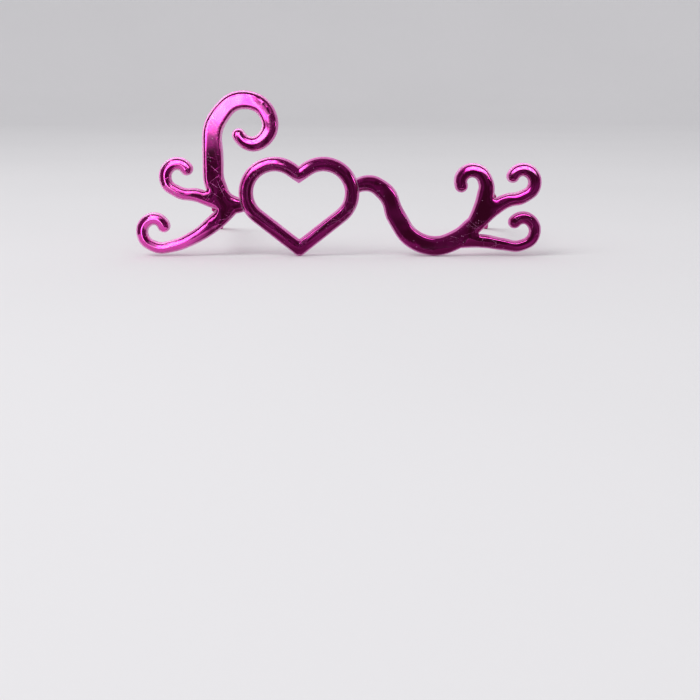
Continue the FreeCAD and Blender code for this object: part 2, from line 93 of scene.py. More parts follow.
class Wire:
    """One value in a node tree, with arithmetic that adds Math nodes."""

    def __init__(self, graph: "Graph", socket: bpy.types.NodeSocket) -> None:
        """Wraps an output socket of the graph."""
        self.graph = graph
        self.socket = socket

    def _math(self, operation: str, *terms: "Value") -> "Wire":
        """Adds one Math node.

        Args:
            operation: the Math node's operation.
            terms: its inputs, in order.

        Returns:
            The node's value.
        """
        sockets = dict(enumerate(terms))
        return self.graph.node("ShaderNodeMath", {"operation": operation}, sockets)

    def __add__(self, other: "Value") -> "Wire":
        """This value plus another."""
        return self._math("ADD", self, other)

    def __radd__(self, other: "Value") -> "Wire":
        """Another value plus this one."""
        return self._math("ADD", other, self)

    def __sub__(self, other: "Value") -> "Wire":
        """This value less another."""
        return self._math("SUBTRACT", self, other)

    def __rsub__(self, other: "Value") -> "Wire":
        """Another value less this one."""
        return self._math("SUBTRACT", other, self)

    def __mul__(self, other: "Value") -> "Wire":
        """This value times another."""
        return self._math("MULTIPLY", self, other)

    def __rmul__(self, other: "Value") -> "Wire":
        """Another value times this one."""
        return self._math("MULTIPLY", other, self)

    def over(self, low: float, high: float) -> "Wire":
        """A smooth step that rises from 0 at low to 1 at high."""
        return self.graph.node(
            "ShaderNodeMapRange",
            {"interpolation_type": "SMOOTHSTEP"},
            {"Value": self, "From Min": low, "From Max": high},
        )


Value = Union[Wire, float]
Setting = Union[Wire, float, Sequence[float], str, bool]
Sockets = dict[Union[str, int], Setting]


@dataclass(frozen=True)
class Noise:
    """A noise pattern: features to the metre, octaves, and the levels it is stepped between."""

    scale: float
    detail: float
    levels: Optional[tuple[float, float]] = None


@dataclass(frozen=True)
class Scratches:
    """Thin, slightly bent scratches in several directions.

    Angles are in degrees about Y. Rarity is the noise level above which a scratch shows, and fade
    is how far above it the scratch is at its full strength. Bend is how far the noise of bends can
    push a scratch, and shift moves each direction's pattern on from the last.
    """

    angles: tuple[float, ...]
    width: float
    length: float
    rarity: float
    fade: float = 0.05
    bend: float = 0.006
    bends: Noise = Noise(60.0, 1.0)
    shift: Point = (0.031, 0.0, 0.017)


class Graph:
    """The node tree of one material."""

    def __init__(self, name: str) -> None:
        """Makes an empty material.

        Args:
            name: the material's name.
        """
        self.material = bpy.data.materials.new(name)
        self.material.use_nodes = True
        self.tree = self.material.node_tree
        self.tree.nodes.clear()

    def node(
        self,
        kind: str,
        settings: Optional[dict[str, Setting]] = None,
        sockets: Optional[Sockets] = None,
        output: Union[str, int] = 0,
    ) -> Optional[Wire]:
        """Adds a node of any type.

        Args:
            kind: the node's type.
            settings: its own settings, set before the sockets.
            sockets: a value or a wire for each input, by name or number.
            output: the output to hand back, by name or number.

        Returns:
            That output, or None for a node that has none.
        """
        made = self.tree.nodes.new(kind)
        for name, value in (settings or {}).items():
            setattr(made, name, value)
        for name, value in (sockets or {}).items():
            if isinstance(value, Wire):
                self.tree.links.new(value.socket, made.inputs[name])
            else:
                made.inputs[name].default_value = value
        return Wire(self, made.outputs[output]) if len(made.outputs) else None

    def place(self, scale: Point = (1.0, 1.0, 1.0), turn: Point = (0.0, 0.0, 0.0),
              move: Point = (0.0, 0.0, 0.0), start: Optional[Wire] = None) -> Wire:
        """Coordinates through two Mapping nodes, turned and then scaled.

        Args:
            scale: the pattern's scale on each axis.
            turn: its rotation in degrees.
            move: its shift, in metres, before the scale.
            start: the coordinates to begin with, or None for the object's own.

        Returns:
            The coordinates.
        """
        spot = start or self.node("ShaderNodeTexCoord", output="Object")
        turned = self.node(
            "ShaderNodeMapping",
            {"vector_type": "POINT"},
            {
                "Vector": spot,
                "Location": move,
                "Rotation": tuple(math.radians(angle) for angle in turn),
            },
        )
        return self.node(
            "ShaderNodeMapping", {"vector_type": "POINT"}, {"Vector": turned, "Scale": scale}
        )

    def _cloud(self, where: Wire, pattern: Noise, output: Union[str, int] = 0) -> Wire:
        """One output of a Noise Texture node."""
        sockets: Sockets = {"Vector": where, "Scale": pattern.scale, "Detail": pattern.detail}
        return self.node("ShaderNodeTexNoise", {}, sockets, output)

    def warp(self, reach: float, pattern: Noise) -> Wire:
        """Object coordinates pushed about by a slow noise.

        Args:
            reach: how far a point can move, in metres.
            pattern: the noise.

        Returns:
            The coordinates.
        """
        flat = self.place()
        push = self._cloud(flat, pattern, "Color")
        return self.node(
            "ShaderNodeVectorMath",
            {"operation": "MULTIPLY_ADD"},
            {0: push, 1: (reach, reach, reach), 2: flat},
        )

    def noise(self, where: Wire, pattern: Noise) -> Wire:
        """A noise value from 0 to 1.

        Args:
            where: the coordinates.
            pattern: the noise.

        Returns:
            The value, stepped if the pattern has levels.
        """
        value = self._cloud(where, pattern)
        return value if pattern.levels is None else value.over(*pattern.levels)

    def blend(self, first: Setting, second: Setting, share: Value) -> Wire:
        """A colour between two, by a share from 0 to 1."""
        return self.node(
            "ShaderNodeMix",
            {"data_type": "RGBA"},
            {MIX_FIRST: _with_alpha(first), MIX_SECOND: _with_alpha(second), MIX_SHARE: share},
            output=MIX_RESULT,
        )

    def bump(self, height: Wire, distance: float, below: Optional[Wire] = None) -> Wire:
        """A bumped normal.

        Args:
            height: the height, from 0 to 1.
            distance: what a height of 1 stands for.
            below: a normal to add to.

        Returns:
            The normal.
        """
        sockets: Sockets = {"Height": height, "Distance": distance}
        if below is not None:
            sockets["Normal"] = below
        return self.node("ShaderNodeBump", {}, sockets)

    def scratches(self, pattern: Scratches) -> Wire:
        """A mask of scratches.

        Args:
            pattern: their directions, sizes and rarity.

        Returns:
            The mask: 1 on a scratch, and more where scratches cross.
        """
        total: Optional[Wire] = None
        bent = self.warp(pattern.bend, pattern.bends)
        along, across = 1.0 / pattern.length, 1.0 / pattern.width
        streaks = Noise(1.0, 0.0, (pattern.rarity, pattern.rarity + pattern.fade))
        for step, angle in enumerate(pattern.angles):
            move = tuple(part * step for part in pattern.shift)
            lines = self.place((along, along, across), (0.0, angle, 0.0), move, bent)
            streak = self.noise(lines, streaks)
            total = streak if total is None else total + streak
        return total

    def surface(self, sockets: Sockets) -> bpy.types.Material:
        """Closes the material with a Principled shader.

        Args:
            sockets: the shader's inputs.

        Returns:
            The material.
        """
        shader = self.node("ShaderNodeBsdfPrincipled", {}, sockets)
        self.node("ShaderNodeOutputMaterial", {}, {"Surface": shader})
        return self.material


def _with_alpha(colour: Setting) -> Setting:
    """A plain colour with its alpha, or a wire as it is."""
    return colour if isinstance(colour, Wire) else (*colour, 1.0)


# Finishes


@dataclass(frozen=True)
class MetallisedFilm:
    """Mirror-bright coloured film, pressed over the raised strokes."""

    name: str = "metallised_film"
    tint: Colour = (0.80, 0.030, 0.47)
    deep: Colour = (0.66, 0.014, 0.36)
    rubbed: Colour = (0.95, 0.60, 0.88)
    depths: Noise = Noise(24.0, 2.0, (0.35, 0.7))
    waves: Noise = Noise(85.0, 1.0)
    wave_height: float = 0.0007
    creases: Noise = Noise(260.0, 2.0)
    crease_stretch: Point = (1.0, 1.0, 0.35)
    crease_turn: Point = (0.0, 35.0, 0.0)
    crease_height: float = 0.00005
    scratches: Scratches = Scratches(
        (12.0, -38.0, 71.0, 33.0, -14.0, -66.0, 52.0), 0.00016, 0.010, 0.785
    )
    scratched: Noise = Noise(45.0, 2.0, (0.44, 0.64))
    scratch_height: float = 0.00002
    scratch_share: float = 0.7
    grain_scale: float = 600.0
    grain_levels: tuple[float, float] = (0.06, 0.13)
    speckled: Noise = Noise(130.0, 1.0, (0.46, 0.56))
    speck_share: float = 0.8
    bared: float = 0.8
    smudges: Noise = Noise(110.0, 3.0, (0.42, 0.75))
    rough: float = 0.06
    smudge_rough: float = 0.08
    mark_rough: float = 0.25
    coat_rough: float = 0.04
    coat_index: float = 1.7

    def material(self) -> bpy.types.Material:
        """The film with its waves, creases, smudges, scratches and specks.

        Returns:
            The material.
        """
        graph = Graph(self.name)
        flat = graph.place()
        waves = graph.noise(flat, self.waves)
        creases = graph.noise(graph.place(self.crease_stretch, self.crease_turn), self.creases)
        lines = graph.scratches(self.scratches) * graph.noise(flat, self.scratched)
        lines = lines.over(0.0, 1.0)
        grains = graph.node(
            "ShaderNodeTexVoronoi", {"feature": "F1"}, {"Vector": flat, "Scale": self.grain_scale}
        )
        specks = 1.0 - grains.over(*self.grain_levels)
        specks = specks * graph.noise(flat, self.speckled)
        marks = (lines * self.scratch_share + specks * self.speck_share).over(0.0, 1.0)
        smudges = graph.noise(flat, self.smudges)
        shade = graph.blend(self.tint, self.deep, graph.noise(flat, self.depths))
        normal = graph.bump(waves, self.wave_height)
        normal = graph.bump(creases, self.crease_height, normal)
        normal = graph.bump(lines, self.scratch_height, normal)
        return graph.surface({
            "Base Color": graph.blend(shade, self.rubbed, marks * self.bared),
            "Metallic": 1.0 - marks * self.bared,
            "Roughness": self.rough + smudges * self.smudge_rough + marks * self.mark_rough,
            "Normal": normal,
            "Coat Weight": 1.0,
            "Coat Roughness": self.coat_rough,
            "Coat IOR": self.coat_index,
        })


@dataclass(frozen=True)
class FlangeFilmPaintedHighlight:
    """The film where it lies flat on the plate, painted a pale diffuse pink: a painted highlight
    that keeps the flange a bright line.
    """

    name: str = "flange_film_painted_highlight"
    # Paler and far less metal than the raised film: the pale pink is a painted highlight, and the
    # rubbed patches are wear.
    tint: Colour = (0.95, 0.27, 0.70)
    worn: Colour = (0.97, 0.54, 0.86)
    rubs: Noise = Noise(120.0, 3.0, (0.48, 0.72))
    grain: Noise = Noise(1800.0, 2.0)
    grain_height: float = 0.00003
    metal: float = 0.20
    metal_lost: float = 0.10
    rough: float = 0.30
    rub_rough: float = 0.15
    coat: float = 0.3
    coat_rough: float = 0.1

    def material(self) -> bpy.types.Material:
        """The flat film with its rubbed patches and fine grain.

        Returns:
            The material.
        """
        graph = Graph(self.name)
        flat = graph.place()
        rubbed = graph.noise(flat, self.rubs)
        return graph.surface({
            "Base Color": graph.blend(self.tint, self.worn, rubbed),
            "Metallic": self.metal - rubbed * self.metal_lost,
            "Roughness": self.rough + rubbed * self.rub_rough,
            "Normal": graph.bump(graph.noise(flat, self.grain), self.grain_height),
            "Coat Weight": self.coat,
            "Coat Roughness": self.coat_rough,
        })


@dataclass(frozen=True)
class CutEdgePaintedHighlight:
    """The cut edge of the plate, where the film stops, painted pale pink: a painted highlight
    along the rim.
    """

    name: str = "cut_edge_painted_highlight"
    # The sheet's pink lifted pale as a painted highlight along the rim; the darker mottle is
    # random tone.
    tint: Colour = (0.94, 0.42, 0.78)
    warm: Colour = (0.88, 0.24, 0.64)
    mottle: Noise = Noise(160.0, 3.0, (0.35, 0.7))
    cuts: Noise = Noise(3000.0, 1.0)
    cut_stretch: Point = (1.0, 0.1, 1.0)
    cut_height: float = 0.00002
    rough: float = 0.28
    mottle_rough: float = 0.15
    coat: float = 0.4
    coat_rough: float = 0.1

    def material(self) -> bpy.types.Material:
        """The edge with its mottling and cutting marks.

        Returns:
            The material.
        """
        graph = Graph(self.name)
        mottle = graph.noise(graph.place(), self.mottle)
        cuts = graph.noise(graph.place(self.cut_stretch), self.cuts)
        return graph.surface({
            "Base Color": graph.blend(self.tint, self.warm, mottle),
            "Roughness": self.rough + mottle * self.mottle_rough,
            "Normal": graph.bump(cuts, self.cut_height),
            "Coat Weight": self.coat,
            "Coat Roughness": self.coat_rough,
        })


@dataclass(frozen=True)
class SheetBack:
    """The satin coloured back of the plate, away from the film."""

    name: str = "sheet_back"
    tint: Colour = (0.72, 0.045, 0.44)
    worn: Colour = (0.84, 0.16, 0.58)
    mottle: Noise = Noise(60.0, 3.0, (0.35, 0.7))
    mottle_share: float = 0.35
    grain: Noise = Noise(1500.0, 2.0)
    grain_height: float = 0.00003
    scratches: Scratches = Scratches((20.0, -55.0, 80.0), 0.0002, 0.012, 0.72)
    scratch_share: float = 0.5
    scratch_height: float = 0.00002
    metal: float = 0.35
    rough: float = 0.30
    mottle_rough: float = 0.12
    scratch_rough: float = 0.15
    coat: float = 0.3
    coat_rough: float = 0.15

    def material(self) -> bpy.types.Material:
        """The back with its mottling, fine grain and rubbing.

        Returns:
            The material.
        """
        graph = Graph(self.name)
        flat = graph.place()
        mottle = graph.noise(flat, self.mottle)
        lines = graph.scratches(self.scratches)
        grain = graph.bump(graph.noise(flat, self.grain), self.grain_height)
        wear = mottle * self.mottle_share + lines * self.scratch_share
        return graph.surface({
            "Base Color": graph.blend(self.tint, self.worn, wear),
            "Metallic": self.metal,
            "Roughness": self.rough + mottle * self.mottle_rough + lines * self.scratch_rough,
            "Normal": graph.bump(lines, self.scratch_height, grain),
            "Coat Weight": self.coat,
            "Coat Roughness": self.coat_rough,
        })


@dataclass(frozen=True)
class MouldedPlastic:
    """Glossy coloured plastic, as it comes from the mould."""

    name: str = "moulded_plastic"
    tint: Colour = (0.60, 0.012, 0.27)
    pale: Colour = (0.72, 0.05, 0.37)
    flow: Noise = Noise(90.0, 3.0, (0.35, 0.7))
    flow_stretch: Point = (1.0, 0.15, 1.0)
    flow_share: float = 0.6
    peel: Noise = Noise(700.0, 2.0)
    peel_height: float = 0.00003
    scratches: Scratches = Scratches((8.0, 64.0), 0.00018, 0.010, 0.71)
    scratch_share: float = 0.5
    scratch_height: float = 0.00002
    rough: float = 0.20
    flow_rough: float = 0.08
    scratch_rough: float = 0.25
    coat: float = 0.3
    coat_rough: float = 0.08

    def material(self) -> bpy.types.Material:
        """The plastic with its flow marks, orange peel and handling scratches.

        Returns:
            The material.
        """
        graph = Graph(self.name)
        flow = graph.noise(graph.place(self.flow_stretch), self.flow)
        lines = graph.scratches(self.scratches)
        peel = graph.bump(graph.noise(graph.place(), self.peel), self.peel_height)
        wear = flow * self.flow_share + lines * self.scratch_share
        return graph.surface({
            "Base Color": graph.blend(self.tint, self.pale, wear),
            "Roughness": self.rough + flow * self.flow_rough + lines * self.scratch_rough,
            "Normal": graph.bump(lines, self.scratch_height, peel),
            "Coat Weight": self.coat,
            "Coat Roughness": self.coat_rough,
        })


@dataclass(frozen=True)
class TurnedSteel:
    """Plated steel with fine turning marks round its axis."""

    name: str = "turned_steel"
    tint: Colour = (0.66, 0.65, 0.64)
    dull: Colour = (0.42, 0.41, 0.41)
    tarnish: Noise = Noise(900.0, 3.0, (0.4, 0.75))
    rings: Noise = Noise(9000.0, 1.0)
    ring_stretch: Point = (0.2, 0.2, 1.0)
    ring_height: float = 0.00001
    rough: float = 0.22
    tarnish_rough: float = 0.2

    def material(self) -> bpy.types.Material:
        """The steel with its rings and tarnish.

        Returns:
            The material.
        """
        graph = Graph(self.name)
        tarnish = graph.noise(graph.place(), self.tarnish)
        rings = graph.noise(graph.place(self.ring_stretch), self.rings)
        return graph.surface({
            "Base Color": graph.blend(self.tint, self.dull, tarnish),
            "Metallic": 1.0,
            "Roughness": self.rough + tarnish * self.tarnish_rough,
            "Normal": graph.bump(rings, self.ring_height),
        })


# Modelling bench


class Bench:
    """Selects, edits and finishes one piece at a time."""

    @staticmethod
    def clear() -> None:
        """Leaves edit mode and deselects everything."""
        if bpy.context.mode != "OBJECT":
            bpy.ops.object.mode_set(mode="OBJECT")
        bpy.ops.object.select_all(action="DESELECT")

    @classmethod
    def take(cls, piece: bpy.types.Object) -> None:
        """Makes a piece the only selected one.

        Args:
            piece: the piece.
        """
        cls.clear()
        piece.select_set(True)
        bpy.context.view_layer.objects.active = piece

    @classmethod
    def copy(cls, node: str, name: str) -> bpy.types.Object:
        """Copies a node's mesh into a new piece and merges its loose corners.

        Args:
            node: the node.
            name: the new piece's name.

        Returns:
            The piece, selected, in edit mode with all of it selected.
        """
        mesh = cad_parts[node].data.copy()
        mesh.name = name
        mesh.materials.clear()
        piece = bpy.data.objects.new(name, mesh)
        bpy.context.scene.collection.objects.link(piece)
        cls.take(piece)
        bpy.ops.mesh.customdata_custom_splitnormals_clear()
        bpy.ops.object.mode_set(mode="EDIT")
        bpy.ops.mesh.select_all(action="SELECT")
        bpy.ops.mesh.remove_doubles(threshold=SEAM)
        return piece

    @staticmethod
    def pick(piece: bpy.types.Object, test: FaceTest) -> None:
        """Selects the faces that pass a test, and no others.

        Args:
            piece: the piece, in edit mode.
            test: what a face has to pass.
        """
        bpy.ops.mesh.select_mode(type="FACE")
        bpy.ops.mesh.select_all(action="DESELECT")
        bpy.ops.object.mode_set(mode="OBJECT")
        chosen = [test(face) for face in piece.data.polygons]
        piece.data.polygons.foreach_set("select", chosen)
        bpy.ops.object.mode_set(mode="EDIT")

    @classmethod
    def modify(cls, piece: bpy.types.Object, kind: str, **settings: Setting) -> None:
        """Adds one modifier and applies it.

        Args:
            piece: the piece.
            kind: the modifier's type.
            settings: its settings.
        """
        cls.take(piece)
        added = piece.modifiers.new(kind.lower(), kind)
        for name, value in settings.items():
            setattr(added, name, value)
        bpy.ops.object.modifier_apply(modifier=added.name)

    @classmethod
    def smooth(cls, piece: bpy.types.Object, angle: float) -> None:
        """Shades a piece smooth where its faces meet below an angle.

        Args:
            piece: the piece.
            angle: the angle, in degrees.
        """
        cls.take(piece)
        bpy.ops.object.shade_smooth_by_angle(angle=math.radians(angle))
        cls.clear()


def dress(piece: bpy.types.Object, finish: bpy.types.Material) -> None:
    """Gives every face of a piece one finish.

    Args:
        piece: the piece.
        finish: its finish.
    """
    if not piece.data.materials:
        piece.data.materials.append(finish)
    for place in piece.material_slots:
        place.material = finish


def report(piece: bpy.types.Object) -> None:
    """Logs a finished piece."""
    LOG.info("%s: %d faces", piece.name, len(piece.data.polygons))


# Sub-assemblies


@dataclass
class RaisedSkin:
    """One film-covered part of the front, with round shoulders and a low crown."""

    node: str
    name: str
    meets: Optional[str] = None
    wall: float = 0.85 * MM
    shoulder: float = 1.9 * MM
    height: float = 2.4 * MM
    flange: float = 0.65 * MM
    roundness: float = 2.4
    ring_steps: int = 8
    lip: float = 0.06 * MM
    shortest: float = 0.25 * MM
    cell: float = 1.0 * MM
    crown_start: float = 1.1 * MM
    crown_slope: float = 0.22
    widest: float = 5.0 * MM
    end_tilt: float = 0.5
    wall_tilt: float = 0.3
    smooth_angle: float = 50.0

    def rings(self) -> list[tuple[float, float]]:
        """The steps of the shoulder from its wall to its crown.

        Returns:
            Each step's inset and rise.
        """
        turns = [math.pi / 2 * step / self.ring_steps for step in range(self.ring_steps + 1)]
        power = 2.0 / self.roundness
        top = self.height - self.wall
        runs = [self.shoulder * (1.0 - math.cos(turn) ** power) for turn in turns]
        rises = [top * math.sin(turn) ** power for turn in turns]
        steps = [
            (runs[i + 1] - runs[i], rises[i + 1] - rises[i]) for i in range(self.ring_steps)
        ]
        return [*steps, (self.lip, 0.0)]

    def _gap(self) -> Callable[[Vector], float]:
        """A measure of the distance from a place to the neighbour.

        Returns:
            The measure.
        """
        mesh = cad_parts[self.meets].data
        corners = [tuple(corner.co) for corner in mesh.vertices]
        faces = [tuple(face.vertices) for face in mesh.polygons]
        neighbour = BVHTree.FromPolygons(corners, faces)
        return lambda spot: neighbour.find_nearest(spot)[DISTANCE]

    def _straighten(self, piece: bpy.types.Object) -> None:
        """Makes one straight edge of the outline's end at the neighbour's flange.

        Args:
            piece: the flat outline, in edit mode.
        """
        gap = self._gap()
        bpy.ops.mesh.select_all(action="DESELECT")
        bpy.ops.mesh.select_mode(type="VERT")
        bpy.ops.object.mode_set(mode="OBJECT")
        end = [spot for spot in piece.data.vertices if gap(spot.co) < self.flange + NEAR]
        end.sort(key=lambda spot: spot.co.z)
        for spot in end[1:-1]:
            spot.select = True
        bpy.ops.object.mode_set(mode="EDIT")
        bpy.ops.mesh.dissolve_verts()
        bpy.ops.mesh.select_mode(type="FACE")
        bpy.ops.mesh.select_all(action="SELECT")

    def _butts(self, piece: bpy.types.Object) -> FaceTest:
        """A test for the wall that stands against the neighbour's flange.

        Args:
            piece: the piece, with its walls raised.

        Returns:
            The test.
        """
        gap = self._gap()

        def test(face: bpy.types.MeshPolygon) -> bool:
            """Whether all of a wall's corners are a flange away."""
            gaps = [gap(piece.data.vertices[corner].co) for corner in face.vertices]
            return abs(face.normal.y) < self.end_tilt and max(gaps) < self.flange + NEAR

        return test

    def _grid(self) -> None:
        """Cuts the selected flat crown along X and Z into small cells that can be curved."""
        bpy.ops.mesh.hide(unselected=True)
        low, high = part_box(self.node)
        for axis in (0, 2):
            for step in range(1, int((high[axis] - low[axis]) / self.cell) + 1):
                middle, normal = [0.0] * 3, [0.0] * 3
                middle[axis] = low[axis] + self.cell * step
                normal[axis] = 1.0
                bpy.ops.mesh.select_all(action="SELECT")
                bpy.ops.mesh.bisect(plane_co=middle, plane_no=normal)
        bpy.ops.mesh.reveal()

    def _walls(self, piece: bpy.types.Object, base: float) -> BVHTree:
        """The upright walls along the strokes, without those at the neighbour.

        Args:
            piece: the raised piece.
            base: the plane that the walls stand on.

        Returns:
            The walls.
        """
        butts = self._butts(piece) if self.meets is not None else None
        faces = []
        for face in piece.data.polygons:
            upright = abs(face.normal.y) < self.wall_tilt and face.center.y > base - self.wall
            if upright and not (butts and butts(face)):
                faces.append(tuple(face.vertices))
        return BVHTree.FromPolygons([tuple(spot.co) for spot in piece.data.vertices], faces)

    def _crown(self, piece: bpy.types.Object) -> None:
        """Raises a low curve across each stroke, steeper at its sides than in its middle.

        Args:
            piece: the raised piece.
        """
        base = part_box(self.node)[1].y
        walls = self._walls(piece, base)
        foot = base - self.wall / 2
        for spot in piece.data.vertices:
            if spot.co.y > base - self.wall - NEAR:
                continue
            here = Vector((spot.co.x, foot, spot.co.z))
            near, _, _, depth = walls.find_nearest(here)
            if depth <= self.crown_start:
                continue
            across = here - near
            ahead = Vector((across.x, 0.0, across.z)).normalized()
            far = walls.ray_cast(here, ahead)[DISTANCE]
            half = min((depth + (far or self.widest * 2)) / 2, self.widest)
            run = max(half - self.crown_start, NEAR)
            share = min((depth - self.crown_start) / run, 1.0)
            spot.co.y -= self.crown_slope * run / 2 * (1.0 - (1.0 - share) ** 2)

    def build(self) -> bpy.types.Object:
        """Raises the skin from its outline on the plate.

        Returns:
            The piece.
        """
        piece = Bench.copy(self.node, self.name)
        Bench.pick(piece, lambda face: face.normal.y < FLAT)
        bpy.ops.mesh.delete(type="FACE")
        bpy.ops.mesh.select_all(action="SELECT")
        bpy.ops.mesh.remove_doubles(threshold=self.shortest)
        bpy.ops.mesh.flip_normals()
        if self.meets is not None:
            self._straighten(piece)
        bpy.ops.mesh.extrude_region_move(
            TRANSFORM_OT_translate={"value": (0.0, -self.wall, 0.0)}
        )
        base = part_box(self.node)[1].y
        if self.meets is not None:
            Bench.pick(piece, self._butts(piece))
            bpy.ops.mesh.delete(type="ONLY_FACE")
        Bench.pick(piece, lambda face: face.center.y < base - self.wall + NEAR)
        for inset, rise in self.rings():
            bpy.ops.mesh.inset(
                thickness=inset, depth=rise, use_boundary=False, use_even_offset=True,
                use_interpolate=False,
            )
        self._grid()
        bpy.ops.mesh.select_mode(type="EDGE")
        bpy.ops.mesh.select_all(action="DESELECT")
        if self.meets is not None:
            bpy.ops.mesh.select_non_manifold()
            bpy.ops.transform.edge_crease(value=1.0)
            bpy.ops.mesh.fill()
        bpy.ops.mesh.select_all(action="SELECT")
        bpy.ops.mesh.normals_make_consistent(inside=False)
        Bench.modify(piece, "SUBSURF", levels=1, render_levels=1)
        self._crown(piece)
        Bench.smooth(piece, self.smooth_angle)
        return piece

    def finish(self, film: bpy.types.Material) -> None:
        """Builds and dresses the skin in place of its node.

        Args:
            film: its finish.
        """
        piece = self.build()
        dress(piece, film)
        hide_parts(self.node)
        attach(piece, FRONT)
        report(piece)


@dataclass
class BackPlate:
    """The thin sheet behind the strokes, with its edge just broken."""

    node: str = "back_plate"
    name: str = "edged_plate"
    edge: float = 0.22 * MM
    edge_steps: int = 2
    edge_angle: float = 60.0
    level_angle: float = 0.2
    smooth_angle: float = 35.0

    def build(self) -> bpy.types.Object:
        """Breaks the edge of the plate's outline and openings.

        Returns:
            The piece.
        """
        piece = Bench.copy(self.node, self.name)
        bpy.ops.mesh.dissolve_limited(angle_limit=math.radians(self.level_angle))
        Bench.modify(
            piece, "BEVEL", width=self.edge, segments=self.edge_steps, limit_method="ANGLE",
            angle_limit=math.radians(self.edge_angle), use_clamp_overlap=False,
        )
        Bench.smooth(piece, self.smooth_angle)
        return piece

    def finish(self, film: bpy.types.Material, edge: bpy.types.Material,
               back: bpy.types.Material) -> None:
        """Builds and dresses the plate in place of its node.

        Args:
            film: the finish of its front, pale pink as a painted highlight.
            edge: the finish of its cut edge, pale pink as a painted highlight.
            back: the finish of its back.
        """
        piece = self.build()
        for finish in (edge, film, back):
            piece.data.materials.append(finish)
        sides = (lambda face: face.normal.y < -FLAT, lambda face: face.normal.y > FLAT)
        Bench.take(piece)
        bpy.ops.object.mode_set(mode="EDIT")
        for place, test in enumerate(sides, 1):
            Bench.pick(piece, test)
            piece.active_material_index = place
            bpy.ops.object.material_slot_assign()
        Bench.clear()
        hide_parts(self.node)
        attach(piece, FRONT)
        report(piece)


@dataclass
class Front:
    """The whole front: the plate and its three raised skins."""

    plate: BackPlate = field(default_factory=BackPlate)
    skins: tuple[RaisedSkin, ...] = (
        RaisedSkin("heart_skin", "raised_heart"),
        RaisedSkin("frond_skin", "raised_frond", "heart_skin"),
        RaisedSkin("wave_skin", "raised_wave", "heart_skin"),
    )

    def build(self) -> None:
        """Builds and dresses the front."""
        film = MetallisedFilm().material()
        self.plate.finish(
            FlangeFilmPaintedHighlight().material(), CutEdgePaintedHighlight().material(), SheetBack().material()
        )
        for skin in self.skins:
            skin.finish(film)


@dataclass
class PinMark:
    """The round witness that an ejector pin leaves on a moulding."""

    radius: float = 1.1 * MM
    depth: float = 0.5 * MM
    proud: float = 0.08 * MM
    edge: float = 0.05 * MM
    edge_steps: int = 2
    sides: int = 40
    smooth_angle: float = 35.0

    def model(self) -> bpy.types.Object:
        """Models the mark once, with its top face at the origin.

        Returns:
            The piece that the marks are copied from.
        """
        Bench.clear()
        bpy.ops.mesh.primitive_cylinder_add(
            vertices=self.sides, radius=self.radius, depth=self.depth,
            location=(0.0, 0.0, -self.depth / 2),
        )
        piece = bpy.context.object
        bpy.ops.object.transform_apply(location=True, rotation=True, scale=True)
        Bench.modify(
            piece, "BEVEL", width=self.edge, segments=self.edge_steps, limit_method="ANGLE"
        )
        Bench.smooth(piece, self.smooth_angle)
        return piece

    def copy(self, master: bpy.types.Object, name: str, spot: Vector,
             out: Vector) -> bpy.types.Object:
        """Sets a copy of the mark on a surface.

        Args:
            master: the piece to copy.
            name: the copy's name.
            spot: the point on the surface.
            out: the surface's outward direction there.

        Returns:
            The copy.
        """
        Bench.take(master)
        bpy.ops.object.duplicate()
        piece = bpy.context.object
        piece.name = name
        piece.data.name = name
        piece.rotation_euler = out.to_track_quat("Z", "Y").to_euler()
        piece.location = spot + out * self.proud
        bpy.ops.object.transform_apply(location=True, rotation=True, scale=True)
        return piece


@dataclass
class Arm:
    """One side's hinge block, screw and temple, with the temple's pin marks."""

    side: Side
    mark: PinMark = field(default_factory=PinMark)
    stations: tuple[float, ...] = (-0.040, -0.014, 0.012)
    search_low: float = 8.0 * MM
    search_step: float = 0.25 * MM
    search_count: int = 100

    def _inside(self, station: float) -> tuple[Vector, Vector]:
        """The middle of the temple's inner face at a distance back.

        Args:
            station: the distance back, along Y.

        Returns:
            The point and the face's outward direction.
        """
        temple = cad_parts[f"{self.side.value}_temple"]
        towards = Vector((1.0 if self.side is Side.LEFT else -1.0, 0.0, 0.0))
        hits = []
        for step in range(self.search_count):
            height = self.search_low + step * self.search_step
            found, spot, out, _ = temple.ray_cast(Vector((0.0, station, height)), towards)
            if found:
                hits.append((spot, out))
        return hits[len(hits) // 2]

    def _marks(self, plastic: bpy.types.Material) -> None:
        """Sets the pin marks along the temple's inner face.

        Args:
            plastic: the finish of the temple.
        """
        master = self.mark.model()
        for number, station in enumerate(self.stations, 1):
            spot, out = self._inside(station)
            piece = self.mark.copy(master, f"{self.side.value}_pin_mark_{number}", spot, out)
            dress(piece, plastic)
            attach(piece, f"{self.side.value}_temple")
            report(piece)
        bpy.data.objects.remove(master)

    def build(self, plastic: bpy.types.Material, steel: bpy.types.Material) -> None:
        """Dresses the side's pieces.

        Args:
            plastic: the finish of the block and the temple.
            steel: the finish of the screw.
        """
        finishes = {"hinge_block": plastic, "temple": plastic, "hinge_screw": steel}
        for part, finish in finishes.items():
            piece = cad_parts[f"{self.side.value}_{part}"]
            dress(piece, finish)
            report(piece)
        self._marks(plastic)


# Studio


class Glow(Enum):
    """What a card shows in the gloss: two colours that mottle it."""

    DARK = ((0.040, 0.020, 0.024), (0.15, 0.055, 0.13))
    DUSK = ((0.10, 0.035, 0.07), (0.24, 0.09, 0.20))
    BRIGHT = ((6.5, 6.5, 6.8), (1.8, 1.7, 1.9))


